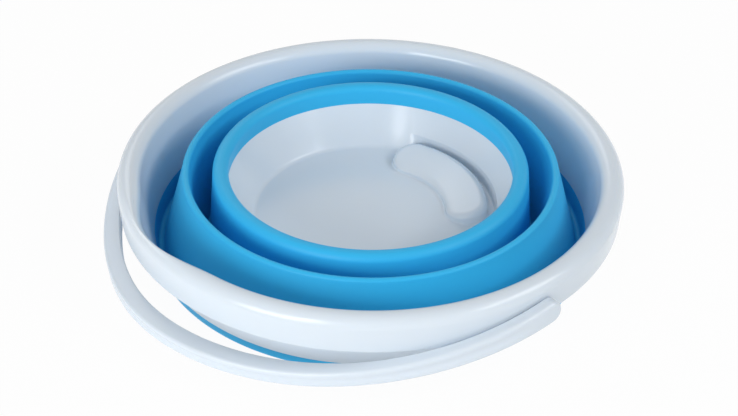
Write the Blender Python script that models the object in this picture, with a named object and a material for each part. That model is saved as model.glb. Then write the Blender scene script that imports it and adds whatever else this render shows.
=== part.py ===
"""A collapsible bucket, folded flat: a stiff rim and a stiff base joined by a soft bellows, and a bail handle.

Metres, +Z up. The origin is on the bucket's axis, in the plane that it stands on. +X runs along the
handle's pivots, and the handle rests towards -Y. Heights are those of the folded bucket.
"""

import math

import bmesh
import bpy
from mathutils import Matrix, Vector

# Facets round the bucket, round a pivot, along the handle and along an arc of an outline
RING_STEPS = 56
PIVOT_STEPS = 16
HANDLE_STEPS = 40
HANDLE_END_STEPS = 5
GRIP_SIDE_STEPS = 9
GRIP_END_STEPS = 5

# Clearance between pieces that are moulded onto each other
SEAM = 0.0003

# Below this distance two points are one
WELD = 0.000001

# Rim: a rounded lip that hangs over a leaning wall
RIM_RADIUS = 0.1600
RIM_HEIGHT = 0.0568
LIP_WIDTH = 0.0150
LIP_ARCH = 0.0075
LIP_DEPTH = 0.0246
LIP_DRAFT = 0.0014
LIP_WALL = 0.0024
RIM_LEAN = 0.0070
RIM_SEAM_HEIGHT = 0.0140
RIM_SEAM_STEP = 0.0055

# Pouring spout, a hollow in the lip's inner side
SPOUT_DEGREES = 259.4
SPOUT_SPREAD_DEGREES = 22.5
SPOUT_DEPTH = 0.0080

# Stiff walls where the bellows is moulded onto them, and the tongue that it grips
WALL = 0.0030
SKIN = 0.0008
TONGUE_DEPTH = 0.0035

# Bellows: thin webs that turn over, and a stiffer band between them
WEB = 0.0014
BAND = 0.0020
BEND_HEIGHT = 0.0045
OUTER_BEND = 0.0032
INNER_BEND = 0.0022
OUTER_WEB_RUN = 0.0126
BAND_RUN = 0.0086
INNER_WEB_RUN = 0.0034
OUTER_CREST_HEIGHT = 0.0551
OUTER_CREST_HALF = 0.0023

# Collar, where the bellows is moulded round the top of the base
COLLAR_HEIGHT = 0.0580
COLLAR_WIDTH = 0.0102
COLLAR_INNER_ROUND = 0.0040
COLLAR_OUTER_ROUND = 0.0050
COLLAR_BULGE = 0.0007
COLLAR_FOOT = 0.0082
COLLAR_DEPTH = 0.0132
BASE_SEAM_STEP = 0.0030

# Base: a dish on a foot ring
DISH_LEAN = 0.0135
DISH_ROUND = 0.0043
FLOOR_HEIGHT = 0.0202
FLOOR_WALL = 0.0025
FOOT_WALL = 0.0026
FOOT_DRAFT = 0.0010

# Finger grip: a kidney-shaped hollow under the floor, whose top rises outwards, with a channel beside it
GRIP_DEGREES = 81.3
GRIP_LENGTH = 0.0940
GRIP_WIDTH = 0.0270
GRIP_INNER_RISE = 0.0038
GRIP_OUTER_RISE = 0.0106
GRIP_WALL = 0.0026
GRIP_REACH = 0.0025
CHANNEL_RISE = 0.0098
CHANNEL_DRAFT = 0.0005
CHANNEL_END_DEGREES = 11.0

# Ribs under the floor
RIB_COUNT = 8
RIB_WALL = 0.0018
RIB_DEPTH = 0.0045
RIB_RING_SET_IN = 0.0040
BOSS_RADIUS = 0.0055

# Handle: a bail whose ends snap into the lip. It is flat at its ends and squarer where a hand holds it
HANDLE_WIDTH = 0.0146
HANDLE_MIDDLE_WIDTH = 0.0104
HANDLE_THICKNESS = 0.0075
HANDLE_MIDDLE_THICKNESS = 0.0112
HANDLE_CLEARANCE = 0.0007
HANDLE_BOW = 0.0072
HANDLE_PINCH = 0.0034
HANDLE_SAG = 0.0033
HANDLE_ROUND = 0.0022
HANDLE_GROOVE = 0.0006
HANDLE_HOLLOW = 0.0022
HANDLE_EDGE = 0.0032
HANDLE_PAD = 0.0100
HANDLE_END_DEGREES = 81.0
REST_GAP = 0.0086
PIVOT_RISE = 0.0068
PEG_RADIUS = 0.0040
PEG_GAP = 0.0004
PEG_HEAD = 0.0012
PEG_HEAD_LENGTH = 0.0026
SOCKET_WALL = 0.0028
SOCKET_DEPTH = 0.0024

# Shares, chosen by hand, of the sizes that they follow
GRIP_HEIGHT_SHARES = (0.0, 0.55, 0.82, 0.95, 1.0)
GRIP_INSET_SHARES = (0.0, 0.04, 0.12, 0.24, 0.40)

# Places that follow from the sizes above
SPOUT_ANGLE = math.radians(SPOUT_DEGREES)
SPOUT_SPREAD = math.radians(SPOUT_SPREAD_DEGREES)
GRIP_ANGLE = math.radians(GRIP_DEGREES)
CHANNEL_END = math.radians(CHANNEL_END_DEGREES)
HANDLE_END_TURN = math.radians(HANDLE_END_DEGREES)
LIP_SPRING = RIM_HEIGHT - LIP_ARCH
LIP_FOOT = RIM_HEIGHT - LIP_DEPTH
LIP_INNER = RIM_RADIUS - LIP_WIDTH
RIM_SLOPE = RIM_LEAN / (LIP_SPRING - RIM_SEAM_HEIGHT)
CLING = SKIN + SEAM
RIM_OUTER_SEAM = RIM_SEAM_HEIGHT - RIM_SEAM_STEP
RIM_TONGUE_TIP = RIM_OUTER_SEAM - TONGUE_DEPTH


def rim_wall(height):
    """Radius of the rim wall's inner side."""
    return LIP_INNER - (LIP_SPRING - height) * RIM_SLOPE


OUTER_BEND_CENTRE = rim_wall(BEND_HEIGHT) + WALL / 2 - OUTER_BEND
OUTER_CREST = OUTER_BEND_CENTRE - OUTER_BEND - OUTER_WEB_RUN + WEB / 2 - OUTER_CREST_HALF
INNER_BEND_CENTRE = OUTER_CREST - OUTER_CREST_HALF + BAND / 2 - BAND_RUN - INNER_BEND
COLLAR_OUTER = INNER_BEND_CENTRE - INNER_BEND - INNER_WEB_RUN + WEB / 2
COLLAR_INNER = COLLAR_OUTER - COLLAR_WIDTH
COLLAR_CREST = COLLAR_OUTER - COLLAR_OUTER_ROUND
BASE_SEAM_HEIGHT = COLLAR_HEIGHT - COLLAR_DEPTH
COLLAR_SLOPE = COLLAR_BULGE / (COLLAR_HEIGHT - COLLAR_INNER_ROUND - BASE_SEAM_HEIGHT)
DISH_TOP = COLLAR_INNER + COLLAR_BULGE
DISH_FOOT = DISH_TOP - DISH_LEAN
DISH_FOOT_HEIGHT = FLOOR_HEIGHT + DISH_ROUND
DISH_SLOPE = DISH_LEAN / (BASE_SEAM_HEIGHT - DISH_FOOT_HEIGHT)
BASE_OUTER_SEAM = BASE_SEAM_HEIGHT - BASE_SEAM_STEP
BASE_TONGUE_TIP = BASE_SEAM_HEIGHT + 2 * TONGUE_DEPTH
FLOOR_RADIUS = DISH_FOOT - DISH_ROUND
FLOOR_UNDERSIDE = FLOOR_HEIGHT - FLOOR_WALL
FOOT_RADIUS = DISH_FOOT + WALL - 2 * FOOT_DRAFT
GRIP_RADIUS = FLOOR_RADIUS + GRIP_REACH - GRIP_WIDTH / 2
CHANNEL_TOP = FLOOR_HEIGHT + CHANNEL_RISE
PIVOT_HEIGHT = LIP_FOOT + PIVOT_RISE
HANDLE_INNER = RIM_RADIUS + HANDLE_CLEARANCE
HANDLE_LINE = HANDLE_INNER + HANDLE_THICKNESS / 2
HANDLE_REACH = HANDLE_LINE + HANDLE_BOW
HANDLE_FRONT = HANDLE_REACH + HANDLE_MIDDLE_THICKNESS / 2
SOCKET_RADIUS = PEG_RADIUS + PEG_GAP
HANDLE_TILT = (
    math.asin((PIVOT_HEIGHT - REST_GAP) / math.hypot(HANDLE_FRONT, HANDLE_MIDDLE_WIDTH / 2))
    - math.atan2(HANDLE_MIDDLE_WIDTH / 2, HANDLE_FRONT)
)


def dish_wall(height):
    """Radius of the base's inner side: the leaning dish, and above it the collar's slight overhang."""
    if height > BASE_SEAM_HEIGHT:
        return DISH_TOP - (height - BASE_SEAM_HEIGHT) * COLLAR_SLOPE
    return DISH_TOP - (BASE_SEAM_HEIGHT - height) * DISH_SLOPE


def arc(centre, radii, start, end, steps):
    """Points on a quarter or half turn. The radius may change evenly from its start to its end."""
    points = []
    for step in range(steps + 1):
        share = step / steps
        angle = math.radians(start + (end - start) * share)
        radius = radii[0] + (radii[1] - radii[0]) * share
        points.append((centre[0] + radius * math.cos(angle), centre[1] + radius * math.sin(angle)))
    return points


def finish(name, colour, roughness):
    """A moulded plastic or rubber, as it looks in the viewport."""
    material = bpy.data.materials.get(name)
    if material:
        return material
    material = bpy.data.materials.new(name)
    material.use_nodes = True
    shader = material.node_tree.nodes["Principled BSDF"]
    shader.inputs["Base Color"].default_value = (*colour, 1)
    shader.inputs["Roughness"].default_value = roughness
    shader.inputs["Metallic"].default_value = 0
    material.diffuse_color = (*colour, 1)
    return material


def white_plastic():
    return finish("white_polypropylene", (0.80, 0.85, 0.90), 0.35)


def blue_rubber():
    return finish("blue_elastomer", (0.03, 0.36, 0.70), 0.5)


def solid(name, mesh, material):
    """An object from a bmesh, with its faces pointing out and its round sides shaded smooth."""
    bmesh.ops.recalc_face_normals(mesh, faces=mesh.faces)
    data = bpy.data.meshes.new(name)
    mesh.to_mesh(data)
    mesh.free()
    if material:
        data.materials.append(material)
    data.shade_smooth()
    data.set_sharp_from_angle(angle=math.radians(35))
    thing = bpy.data.objects.new(name, data)
    bpy.context.scene.collection.objects.link(thing)
    return thing


def turned(name, outline, material, closed=True, shift=None):
    """A ring turned from an outline of (radius, height) points, or a dish where the outline is open."""
    mesh = bmesh.new()
    points = [mesh.verts.new((radius, 0, height)) for radius, height in outline]
    ends = points[1:] + points[:1] if closed else points[1:]
    edges = [mesh.edges.new(pair) for pair in zip(points, ends)]
    bmesh.ops.spin(
        mesh,
        geom=points + edges,
        cent=(0, 0, 0),
        axis=(0, 0, 1),
        angle=math.tau,
        steps=RING_STEPS,
        use_merge=True,
    )
    bmesh.ops.remove_doubles(mesh, verts=mesh.verts, dist=WELD)
    if shift:
        for vert in mesh.verts:
            vert.co = shift(vert.co)
    return solid(name, mesh, material)


def lofted(name, loops, material, tip=None):
    """A solid through closed loops of points, each with as many points.

    Its ends are flat, unless the number of a point is given at which a strip across the last loop starts.
    """
    mesh = bmesh.new()
    rows = [[mesh.verts.new(point) for point in loop] for loop in loops]
    for row, following in zip(rows, rows[1:]):
        for step in range(len(row)):
            after = (step + 1) % len(row)
            mesh.faces.new((row[step], row[after], following[after], following[step]))
    mesh.faces.new(rows[0])
    if tip is None:
        mesh.faces.new(rows[-1])
        return solid(name, mesh, material)
    count = len(rows[-1])
    for step in range(count // 2):
        corners = (tip + step, tip + step + 1, tip - step - 1, tip - step)
        around = dict.fromkeys(corner % count for corner in corners)
        mesh.faces.new([rows[-1][corner] for corner in around])
    return solid(name, mesh, material)


def rod(name, radii, places, material=None):
    """A rod along X, whose radius changes from place to place, such as a peg with a head."""
    loops = []
    for radius, place in zip(radii, places):
        loop = []
        for step in range(PIVOT_STEPS):
            angle = math.tau * step / PIVOT_STEPS
            loop.append(Vector((place, radius * math.cos(angle), radius * math.sin(angle))))
        loops.append(loop)
    return lofted(name, loops, material)


def combine(target, tool, operation):
    """Join a second solid to a piece, or cut it away, and leave the second one out of the model."""
    cut = target.modifiers.new(tool.name, "BOOLEAN")
    cut.object = tool
    cut.operation = operation
    cut.solver = "EXACT"
    tool.hide_render = True
    tool.display_type = "WIRE"
    tool.parent = target.parent


def from_middle(angle, middle):
    """The unsigned angle from a middle direction."""
    return abs((angle - middle + math.pi) % math.tau - math.pi)


def spout_share(angle):
    """How far the spout is let into the lip at an angle round the bucket, from 0 to 1."""
    away = from_middle(angle, SPOUT_ANGLE)
    if away >= SPOUT_SPREAD:
        return 0.0
    return (1 + math.cos(math.pi * away / SPOUT_SPREAD)) / 2


def let_spout_in(point):
    """Push the rim's wall and the inner half of its arch outwards where the spout is."""
    radius = math.hypot(point.x, point.y)
    angle = math.atan2(point.y, point.x)
    rise = (point.z - RIM_SEAM_HEIGHT) / (LIP_SPRING - RIM_SEAM_HEIGHT)
    up = min(max(rise, 0.0), 1.0)
    outer_side = RIM_RADIUS - LIP_WALL
    across = (outer_side - radius) / (outer_side - LIP_INNER)
    on_wall = radius < rim_wall(point.z) + WALL + SEAM
    held = 1.0 if on_wall else math.sin(min(max(across, 0.0), 1.0) * math.pi / 2)
    moved = radius + SPOUT_DEPTH * spout_share(angle) * up * held
    return Vector((moved * math.cos(angle), moved * math.sin(angle), point.z))


def make_rim():
    """The lip, its hanging flange and the wall inside it, which ends in a tongue for the bellows."""
    middle = (RIM_RADIUS - LIP_WIDTH / 2, LIP_SPRING)
    reach = LIP_WIDTH / 2
    arch = [(r, middle[1] + (z - middle[1]) * LIP_ARCH / reach) for r, z in arc(middle, (reach, reach), 180, 0, 6)]
    hollow = reach - LIP_WALL
    flange_foot = RIM_RADIUS - LIP_DRAFT
    edge_round = LIP_WALL / 3
    seam = RIM_SEAM_HEIGHT
    outer_seam = RIM_OUTER_SEAM
    tip = RIM_TONGUE_TIP
    outline = [
        (rim_wall(tip) + CLING, tip),
        (rim_wall(seam) + CLING, seam),
        (rim_wall(seam), seam),
        *arch,
        (flange_foot, LIP_FOOT + edge_round),
        (flange_foot - edge_round, LIP_FOOT),
        (flange_foot - LIP_WALL, LIP_FOOT),
        (middle[0] + hollow, LIP_SPRING),
        *arc(middle, (hollow, hollow), 45, 135, 2),
        (rim_wall(LIP_SPRING) + WALL, LIP_SPRING),
        (rim_wall(outer_seam) + WALL, outer_seam),
        (rim_wall(outer_seam) + WALL - CLING, outer_seam),
        (rim_wall(tip) + WALL - CLING, tip),
    ]
    rim = turned("rim", outline, white_plastic(), shift=let_spout_in)
    for side, word in ((1, "right"), (-1, "left")):
        flange_inside = RIM_RADIUS - LIP_WALL - LIP_DRAFT
        inner_end = flange_inside - SOCKET_DEPTH
        boss = rod(
            "socket_boss_" + word,
            (SOCKET_RADIUS + SOCKET_WALL,) * 2,
            (inner_end, flange_inside + LIP_WALL / 2),
        )
        hole = rod(
            "socket_hole_" + word,
            (SOCKET_RADIUS,) * 2,
            (inner_end - PEG_HEAD_LENGTH, RIM_RADIUS + HANDLE_CLEARANCE),
        )
        for tool, operation in ((boss, "UNION"), (hole, "DIFFERENCE")):
            tool.location = (0, 0, PIVOT_HEIGHT)
            tool.rotation_euler = (0, 0, 0 if side > 0 else math.pi)
            combine(rim, tool, operation)
    return rim


def make_rim_cuff():
    """The bellows' outer end: two skins that grip the rim's tongue, and the outer half of the first bend."""
    centre = (OUTER_BEND_CENTRE, BEND_HEIGHT)
    inner_start = rim_wall(BEND_HEIGHT) - centre[0]
    outer_start = inner_start + WALL
    inner_end = OUTER_BEND - WEB / 2
    outer_end = OUTER_BEND + WEB / 2
    top = RIM_SEAM_HEIGHT - SEAM
    outer_top = RIM_OUTER_SEAM - SEAM
    floor = RIM_TONGUE_TIP - SEAM
    outline = [
        (rim_wall(top), top),
        (rim_wall(top) + SKIN, top),
        (rim_wall(floor) + SKIN, floor),
        (rim_wall(floor) + WALL - SKIN, floor),
        (rim_wall(outer_top) + WALL - SKIN, outer_top),
        (rim_wall(outer_top) + WALL, outer_top),
        *arc(centre, (outer_start, outer_end), 0, -90, 3),
        *arc(centre, (inner_end, inner_start), -90, 0, 2),
    ]
    return turned("rim_cuff", outline, blue_rubber())


def leaf(name, crest, crest_round, bend, bend_round, wall, side):
    """One leaf of the bellows, from the bottom of a bend to the top of a crest.

    The side is 1 for a leaf outside its crest, which turns over, and -1 for one inside its crest.
    Only the first leaves a seam at its two ends, because each one meets one of the other kind there.
    """
    flank = 0 if side > 0 else 180
    seam = SEAM if side > 0 else 0
    crest_end = crest[0] + seam
    bend_end = bend[0] - seam
    crest_turn = 90 - flank
    over = arc(crest, (crest_round, crest_round), flank, flank + crest_turn, 3)[:-1]
    under = arc(crest, (crest_round - wall,) * 2, flank, flank + crest_turn, 2)[:-1]
    outside = arc(bend, (bend_round + wall / 2,) * 2, flank - 180, flank - 180 + crest_turn, 3)[:-1]
    inside = arc(bend, (bend_round - wall / 2,) * 2, flank - 180, flank - 180 + crest_turn, 2)[:-1]
    outline = [
        (bend_end, bend[1] - bend_round + wall / 2),
        *reversed(inside),
        *over,
        (crest_end, crest[1] + crest_round),
        (crest_end, crest[1] + crest_round - wall),
        *reversed(under),
        *outside,
        (bend_end, bend[1] - bend_round - wall / 2),
    ]
    return turned(name, outline, blue_rubber())


def outer_crest():
    return (OUTER_CREST, OUTER_CREST_HEIGHT - OUTER_CREST_HALF)


def make_outer_fold_web():
    """The thin web from the first bend to the outer crest. It turns over as the bucket opens."""
    bend = (OUTER_BEND_CENTRE, BEND_HEIGHT)
    return leaf("outer_fold_web", outer_crest(), OUTER_CREST_HALF, bend, OUTER_BEND, WEB, 1)


def make_middle_band():
    """The stiffer band from the outer crest down to the second bend."""
    bend = (INNER_BEND_CENTRE, BEND_HEIGHT)
    return leaf("middle_band", outer_crest(), OUTER_CREST_HALF, bend, INNER_BEND, BAND, -1)


def make_inner_fold_web():
    """The thin web from the second bend to the top of the collar. It turns over too."""
    bend = (INNER_BEND_CENTRE, BEND_HEIGHT)
    crest = (COLLAR_CREST, COLLAR_HEIGHT - COLLAR_OUTER_ROUND)
    return leaf("inner_fold_web", crest, COLLAR_OUTER_ROUND, bend, INNER_BEND, WEB, 1)


def make_base_collar():
    """The bellows' inner end: the thick ring moulded round the tongue on top of the base."""
    seam = BASE_SEAM_HEIGHT + SEAM
    outer_seam = BASE_OUTER_SEAM + SEAM
    tip = BASE_TONGUE_TIP + SEAM
    inner_round = (COLLAR_INNER + COLLAR_INNER_ROUND, COLLAR_HEIGHT - COLLAR_INNER_ROUND)
    outline = [
        (COLLAR_CREST, COLLAR_HEIGHT),
        *arc(inner_round, (COLLAR_INNER_ROUND,) * 2, 90, 180, 3),
        (dish_wall(seam), seam),
        (dish_wall(seam) + SKIN, seam),
        (dish_wall(tip) + SKIN, tip),
        (dish_wall(tip) + WALL - SKIN, tip),
        (dish_wall(BASE_SEAM_HEIGHT) + WALL - SKIN, BASE_SEAM_HEIGHT),
        (dish_wall(outer_seam) + WALL - SKIN, outer_seam),
        (dish_wall(outer_seam) + WALL, outer_seam),
        (dish_wall(BASE_SEAM_HEIGHT) + WALL, BASE_SEAM_HEIGHT),
        (dish_wall(tip) + WALL, COLLAR_HEIGHT - COLLAR_FOOT),
        (COLLAR_CREST, COLLAR_HEIGHT - COLLAR_OUTER_ROUND),
    ]
    return turned("base_collar", outline, blue_rubber())


def channel_share(angle):
    """How fully the channel beside the finger grip is let into the dish, from 0 to 1."""
    half = GRIP_LENGTH / 2 / GRIP_RADIUS
    away = from_middle(angle, GRIP_ANGLE)
    share = min(max((half - away) / CHANNEL_END, 0.0), 1.0)
    return share * share * (3 - 2 * share)


def let_channel_in(point):
    """Push the lower part of the dish's wall outwards beside the finger grip."""
    radius = math.hypot(point.x, point.y)
    if point.z > CHANNEL_TOP + WELD or point.z < FLOOR_HEIGHT - WELD or radius < FLOOR_RADIUS - WELD:
        return point
    angle = math.atan2(point.y, point.x)
    draft = CHANNEL_DRAFT * (CHANNEL_TOP - point.z) / CHANNEL_RISE
    outside = radius > dish_wall(max(point.z, DISH_FOOT_HEIGHT)) + WALL / 2
    wall = dish_wall(CHANNEL_TOP) - draft + (WALL if outside else 0)
    moved = radius + (wall - radius) * channel_share(angle)
    return Vector((moved * math.cos(angle), moved * math.sin(angle), point.z))


def kidney(half_width, height):
    """A bent outline with round ends, level, centred on the finger grip."""
    reach = GRIP_LENGTH / 2 - GRIP_WIDTH / 2
    half_angle = reach / GRIP_RADIUS
    side_steps = GRIP_SIDE_STEPS
    end_steps = GRIP_END_STEPS
    points = []
    for step in range(side_steps + 1):
        angle = GRIP_ANGLE + half_angle * (2 * step / side_steps - 1)
        points.append(Matrix.Rotation(angle, 3, "Z") @ Vector((GRIP_RADIUS + half_width, 0, height)))
    for side in (1, -1):
        turn = Matrix.Rotation(GRIP_ANGLE + side * half_angle, 3, "Z")
        middle = Vector((GRIP_RADIUS, 0, height))
        for step in range(1, end_steps + 1):
            along = math.pi * step / (end_steps + 1)
            away = Vector((math.cos(along), math.sin(along), 0)) * half_width * side
            points.append(turn @ (middle + away))
        if side > 0:
            for step in range(side_steps + 1):
                angle = GRIP_ANGLE + half_angle * (1 - 2 * step / side_steps)
                points.append(
                    Matrix.Rotation(angle, 3, "Z") @ Vector((GRIP_RADIUS - half_width, 0, height))
                )
    return points


def grip_rise(point):
    """Height of the finger grip's top above the floor, which grows outwards."""
    inner_edge = GRIP_RADIUS - GRIP_WIDTH / 2
    across = (math.hypot(point.x, point.y) - inner_edge) / GRIP_WIDTH
    return GRIP_INNER_RISE + (GRIP_OUTER_RISE - GRIP_INNER_RISE) * across


def grip_shape(name, half_width, foot, drop):
    """A kidney-shaped block with a rounded, sloping top, from its foot up."""
    loops = [kidney(half_width, foot)]
    for height_share, inset_share in zip(GRIP_HEIGHT_SHARES, GRIP_INSET_SHARES):
        loop = kidney(half_width * (1 - inset_share), FLOOR_HEIGHT - drop)
        loops.append([point + Vector((0, 0, grip_rise(point) * height_share)) for point in loop])
    return lofted(name, loops, None, tip=GRIP_SIDE_STEPS + (GRIP_END_STEPS + 1) // 2)


def block(name, size, place, turn):
    """A rectangular block, set at a place along X and then turned about the bucket's axis."""
    mesh = bmesh.new()
    bmesh.ops.create_cube(mesh, size=1)
    bmesh.ops.scale(mesh, vec=size, verts=mesh.verts)
    bmesh.ops.translate(mesh, vec=place, verts=mesh.verts)
    bmesh.ops.rotate(mesh, cent=(0, 0, 0), matrix=Matrix.Rotation(turn, 3, "Z"), verts=mesh.verts)
    return solid(name, mesh, None)


def make_base_dish():
    """The dish that holds the last of the water, its foot ring, finger grip and ribs."""
    seam = BASE_SEAM_HEIGHT
    outer_seam = BASE_OUTER_SEAM
    tip = BASE_TONGUE_TIP
    round_centre = (FLOOR_RADIUS, FLOOR_HEIGHT + DISH_ROUND)
    channel = dish_wall(CHANNEL_TOP)
    low_wall = dish_wall(DISH_FOOT_HEIGHT)
    outline = [
        (0, FLOOR_HEIGHT),
        *arc(round_centre, (DISH_ROUND, DISH_ROUND), -90, 0, 3),
        (channel, CHANNEL_TOP),
        (dish_wall(seam), seam),
        (dish_wall(seam) + CLING, seam),
        (dish_wall(tip) + CLING, tip),
        (dish_wall(tip) + WALL - CLING, tip),
        (dish_wall(seam) + WALL - CLING, seam),
        (dish_wall(outer_seam) + WALL - CLING, outer_seam),
        (dish_wall(outer_seam) + WALL, outer_seam),
        (channel + WALL, CHANNEL_TOP),
        (low_wall + WALL, DISH_FOOT_HEIGHT),
        (low_wall + WALL - FOOT_DRAFT, FLOOR_HEIGHT),
        (FOOT_RADIUS + FOOT_DRAFT / 2, FLOOR_UNDERSIDE),
        (FOOT_RADIUS, 0),
        (FOOT_RADIUS - FOOT_WALL, 0),
        (FOOT_RADIUS - FOOT_WALL, FLOOR_UNDERSIDE),
        (0, FLOOR_UNDERSIDE),
    ]
    dish = turned("base_dish", outline, white_plastic(), closed=False, shift=let_channel_in)
    half = GRIP_WIDTH / 2
    under = FLOOR_UNDERSIDE - FLOOR_WALL
    grip = grip_shape("finger_grip", half, FLOOR_HEIGHT - FLOOR_WALL / 2, 0)
    pocket = grip_shape("finger_pocket", half - GRIP_WALL, under, GRIP_WALL)
    combine(dish, grip, "UNION")
    combine(dish, pocket, "DIFFERENCE")
    add_ribs(dish)
    return dish


def add_ribs(dish):
    """Radial ribs that meet in a boss, and a ring rib that keeps them clear of the finger grip."""
    ring = GRIP_RADIUS - GRIP_WIDTH / 2 - RIB_RING_SET_IN
    root = FLOOR_UNDERSIDE + FLOOR_WALL / 2
    foot = FLOOR_UNDERSIDE - RIB_DEPTH
    ring_outline = [
        (ring - RIB_WALL / 2, foot),
        (ring + RIB_WALL / 2, foot),
        (ring + RIB_WALL / 2, root),
        (ring - RIB_WALL / 2, root),
    ]
    combine(dish, turned("rib_ring", ring_outline, None), "UNION")
    boss_outline = [(0, root), (BOSS_RADIUS, root), (BOSS_RADIUS, 0), (0, 0)]
    combine(dish, turned("rib_boss", boss_outline, None, closed=False), "UNION")
    grip_half = GRIP_LENGTH / 2 / GRIP_RADIUS
    for number in range(RIB_COUNT):
        turn = GRIP_ANGLE + math.tau * (number + 0.5) / RIB_COUNT
        past_grip = from_middle(turn, GRIP_ANGLE) > grip_half + RIB_WALL / GRIP_RADIUS
        end = FOOT_RADIUS - FOOT_WALL / 2 if past_grip else ring
        length = end - BOSS_RADIUS / 2
        place = (BOSS_RADIUS / 2 + length / 2, 0, (foot + root) / 2)
        rib = block(f"rib_{number}", (length, RIB_WALL, root - foot), place, turn)
        combine(dish, rib, "UNION")


def handle_section(width, thickness, relief_share):
    """The bail's section as (outwards, across) points: grooved outside and hollow inside."""
    half = HANDLE_WIDTH / 2
    edge = half - HANDLE_EDGE
    front = thickness / 2
    upper = [
        (front - HANDLE_GROOVE * relief_share, edge - HANDLE_EDGE),
        (front, edge),
        (front, half - HANDLE_ROUND),
        (front - HANDLE_ROUND, half),
        (-front, half),
        (-front, edge),
        (HANDLE_HOLLOW * relief_share - front, edge - HANDLE_ROUND),
    ]
    lower = [(out, -across) for out, across in reversed(upper)]
    return [(out, across * width / HANDLE_WIDTH) for out, across in upper + lower]


def handle_end(side):
    """Stations of one round end, from the pivot outwards to its tip."""
    stations = []
    for step in range(1, HANDLE_END_STEPS + 1):
        turn = HANDLE_END_TURN * step / HANDLE_END_STEPS
        place = Vector((side * HANDLE_LINE, HANDLE_WIDTH / 2 * math.sin(turn), 0))
        width = HANDLE_WIDTH * math.cos(turn)
        stations.append((place, Vector((side, 0, 0)), width, HANDLE_THICKNESS, 0))
    return stations


def shoulder_share(angle):
    """How much of a shoulder of the bail a place is. Each shoulder is two thirds of the way to the front."""
    return math.sin(angle) ** 4 * math.cos(angle) ** 2 * 27 / 4


def handle_stations():
    """Where the bail's sections stand: place, outward direction, width, thickness and share of the relief."""
    bow = []
    for step in range(HANDLE_STEPS + 1):
        angle = math.pi * step / HANDLE_STEPS
        shoulder = shoulder_share(angle)
        pinch = HANDLE_PINCH * shoulder
        across = (HANDLE_LINE - pinch) * math.cos(angle)
        forwards = (HANDLE_REACH - pinch) * math.sin(angle)
        place = Vector((across, -forwards, -HANDLE_SAG * shoulder))
        out = Vector((HANDLE_REACH * math.cos(angle), -HANDLE_LINE * math.sin(angle), 0)).normalized()
        along = math.sin(angle)
        middle = along * along * (3 - 2 * along)
        width = HANDLE_WIDTH + (HANDLE_MIDDLE_WIDTH - HANDLE_WIDTH) * middle
        thickness = HANDLE_THICKNESS + (HANDLE_MIDDLE_THICKNESS - HANDLE_THICKNESS) * middle**3
        relief = min(max(-place.y / HANDLE_PAD - 1, 0), 1)
        bow.append((place, out, width, thickness, relief))
    return handle_end(1)[::-1] + bow + handle_end(-1)


def make_handle():
    """The bail, swept from one round end to the other, and the pegs that snap into the lip."""
    loops = []
    for place, out, width, thickness, relief_share in handle_stations():
        section = handle_section(width, thickness, relief_share)
        loops.append([place + out * away + Vector((0, 0, across)) for away, across in section])
    handle = lofted("handle", loops, white_plastic())
    handle.location = (0, 0, PIVOT_HEIGHT)
    handle.rotation_euler = (HANDLE_TILT, 0, 0)
    head_face = RIM_RADIUS - LIP_WALL - LIP_DRAFT - SOCKET_DEPTH - SEAM
    for side, word in ((1, "right"), (-1, "left")):
        peg = rod(
            "handle_peg_" + word,
            (PEG_RADIUS - PEG_GAP, PEG_RADIUS + PEG_HEAD, PEG_RADIUS + PEG_HEAD, PEG_RADIUS, PEG_RADIUS),
            (
                head_face - PEG_HEAD_LENGTH,
                head_face - PEG_HEAD,
                head_face,
                head_face,
                HANDLE_LINE,
            ),
        )
        peg.location = handle.location
        peg.rotation_euler = (HANDLE_TILT, 0, 0)
        if side < 0:
            peg.rotation_euler = (-HANDLE_TILT, 0, math.pi)
        combine(handle, peg, "UNION")
    return handle


def main():
    for thing in list(bpy.data.objects):
        bpy.data.objects.remove(thing, do_unlink=True)
    make_base_dish()
    make_base_collar()
    make_inner_fold_web()
    make_middle_band()
    make_outer_fold_web()
    make_rim_cuff()
    make_rim()
    make_handle()


main()
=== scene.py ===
"""Looks for a collapsible bucket, folded flat: white rim, base and handle, and a soft blue bellows.

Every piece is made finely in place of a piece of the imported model, in metres, in the model's own frame.
"""

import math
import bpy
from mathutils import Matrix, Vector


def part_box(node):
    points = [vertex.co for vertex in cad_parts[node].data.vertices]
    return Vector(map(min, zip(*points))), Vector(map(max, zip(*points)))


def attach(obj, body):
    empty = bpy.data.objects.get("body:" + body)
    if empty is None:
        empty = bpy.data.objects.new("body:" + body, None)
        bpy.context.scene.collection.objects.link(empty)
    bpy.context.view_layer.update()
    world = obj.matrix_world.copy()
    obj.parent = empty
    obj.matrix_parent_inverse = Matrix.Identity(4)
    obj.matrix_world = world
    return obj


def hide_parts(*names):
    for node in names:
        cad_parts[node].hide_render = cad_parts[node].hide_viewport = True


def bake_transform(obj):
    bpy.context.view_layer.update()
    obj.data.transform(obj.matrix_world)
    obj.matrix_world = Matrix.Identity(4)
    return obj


bl_info = {
    "name": "Collapsible Bucket",
    "version": (1, 0, 0),
    "blender": (4, 5, 0),
    "location": "3D View > Sidebar > Bucket",
    "description": "Makes the looks of a folding bucket around its packed model",
    "category": "Object",
}

import bmesh
import bpy
from bpy.props import FloatProperty, FloatVectorProperty, IntProperty, PointerProperty
from mathutils import Matrix, Vector

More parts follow.
